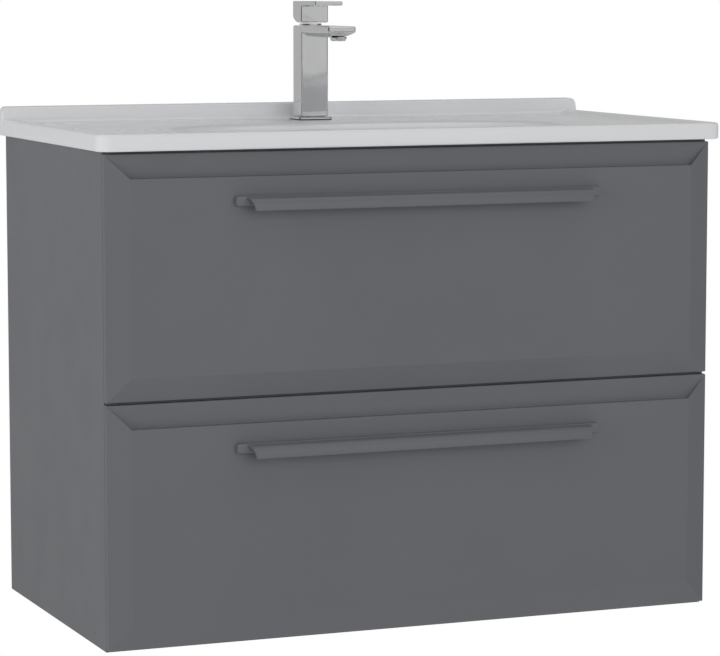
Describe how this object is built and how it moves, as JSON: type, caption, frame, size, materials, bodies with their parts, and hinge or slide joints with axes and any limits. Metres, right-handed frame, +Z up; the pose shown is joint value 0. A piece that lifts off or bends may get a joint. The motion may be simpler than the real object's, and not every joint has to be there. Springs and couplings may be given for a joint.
{
  "type": "wall-hung bathroom vanity cabinet",
  "caption": "Wall-hung bathroom vanity with sliding drawers, curved lip handles, a ceramic basin top and a square single-lever tap.",
  "frame": {"origin": "centre of the rear face of the upper back rail, on the wall, 500 mm above the underside of the cabinet", "axes": "+X to the right seen from the front, +Y towards the wall, +Z up"},
  "size_m": [0.812, 0.454, 0.7615],
  "materials": {
    "grey_lacquer": "matt mid-grey lacquer on MDF",
    "handle_paint": "satin mid-grey powder coat on aluminium",
    "melamine_board": "light grey melamine-faced board with a fine print",
    "glazed_ceramic": "glossy white glaze",
    "chrome": "polished chrome plate",
    "zinc_steel": "bright zinc-plated steel",
    "white_plastic": "white moulded plastic",
    "grey_plastic": "grey moulded plastic"
  },
  "bodies": {
    "cabinet": {"left_side_panel": "grey_lacquer", "right_side_panel": "grey_lacquer", "bottom_panel": "grey_lacquer", "front_top_rail": "grey_lacquer", "front_middle_rail": "grey_lacquer", "upper_back_rail": "melamine_board", "lower_back_rail": "melamine_board", "left_wall_hanger": "zinc_steel", "right_wall_hanger": "zinc_steel", "left_wall_plate": "zinc_steel", "right_wall_plate": "zinc_steel", "basin": "glazed_ceramic", "overflow_ring": "chrome", "drain_flange": "chrome", "drain_tailpiece": "chrome", "drain_nut": "zinc_steel", "trap_head": "white_plastic", "trap_cup": "white_plastic", "trap_arm": "white_plastic", "wall_flange": "chrome", "tap_base_plate": "chrome", "tap_body": "chrome", "tap_aerator": "chrome", "tap_shank": "zinc_steel", "tap_lock_nut": "zinc_steel", "upper_left_runner_fixed": "zinc_steel", "upper_right_runner_fixed": "zinc_steel", "lower_left_runner_fixed": "zinc_steel", "lower_right_runner_fixed": "zinc_steel"},
    "upper_drawer": {"upper_left_runner_slide": "zinc_steel", "upper_left_bracket": "zinc_steel", "upper_drawer_left_side": "melamine_board", "upper_right_runner_slide": "zinc_steel", "upper_right_bracket": "zinc_steel", "upper_drawer_right_side": "melamine_board", "upper_drawer_front": "grey_lacquer", "upper_handle": "handle_paint", "upper_drawer_bottom": "melamine_board", "upper_drawer_left_back": "melamine_board", "upper_drawer_right_back": "melamine_board", "upper_drawer_trap_liner": "grey_plastic"},
    "lower_drawer": {"lower_left_runner_slide": "zinc_steel", "lower_left_bracket": "zinc_steel", "lower_drawer_left_side": "melamine_board", "lower_right_runner_slide": "zinc_steel", "lower_right_bracket": "zinc_steel", "lower_drawer_right_side": "melamine_board", "lower_drawer_front": "grey_lacquer", "lower_handle": "handle_paint", "lower_drawer_bottom": "melamine_board", "lower_drawer_back": "melamine_board"},
    "upper_runner_middle": {"upper_left_runner_middle": "zinc_steel", "upper_right_runner_middle": "zinc_steel"},
    "lower_runner_middle": {"lower_left_runner_middle": "zinc_steel", "lower_right_runner_middle": "zinc_steel"},
    "tap_cartridge": {"tap_cartridge": "chrome"},
    "tap_lever": {"tap_lever": "chrome"},
    "drain_plug": {"drain_plug": "chrome"}
  },
  "joints": [
    {"name": "upper_drawer_slide", "type": "slide", "parent": "cabinet", "child": "upper_drawer", "axis": [0, -1, 0], "range_m": [0, 0.34]},
    {"name": "upper_runner_slide", "type": "slide", "parent": "cabinet", "child": "upper_runner_middle", "axis": [0, -1, 0], "range_m": [0, 0.17]},
    {"name": "lower_drawer_slide", "type": "slide", "parent": "cabinet", "child": "lower_drawer", "axis": [0, -1, 0], "range_m": [0, 0.34]},
    {"name": "lower_runner_slide", "type": "slide", "parent": "cabinet", "child": "lower_runner_middle", "axis": [0, -1, 0], "range_m": [0, 0.17]},
    {"name": "tap_swivel", "type": "hinge", "parent": "cabinet", "child": "tap_cartridge", "pos_m": [0, -0.063, 0.231], "axis": [0, 0, 1], "range_deg": [-45, 45]},
    {"name": "tap_lift", "type": "hinge", "parent": "tap_cartridge", "child": "tap_lever", "pos_m": [0, -0.063, 0.25], "axis": [-1, 0, 0], "range_deg": [0, 22]},
    {"name": "drain_plug_rise", "type": "slide", "parent": "cabinet", "child": "drain_plug", "axis": [0, 0, 1], "range_m": [0, 0.008]}
  ],
  "couplings": [
    {"joint": "upper_runner_slide", "follows": "upper_drawer_slide", "ratio": 0.5},
    {"joint": "lower_runner_slide", "follows": "lower_drawer_slide", "ratio": 0.5}
  ]
}
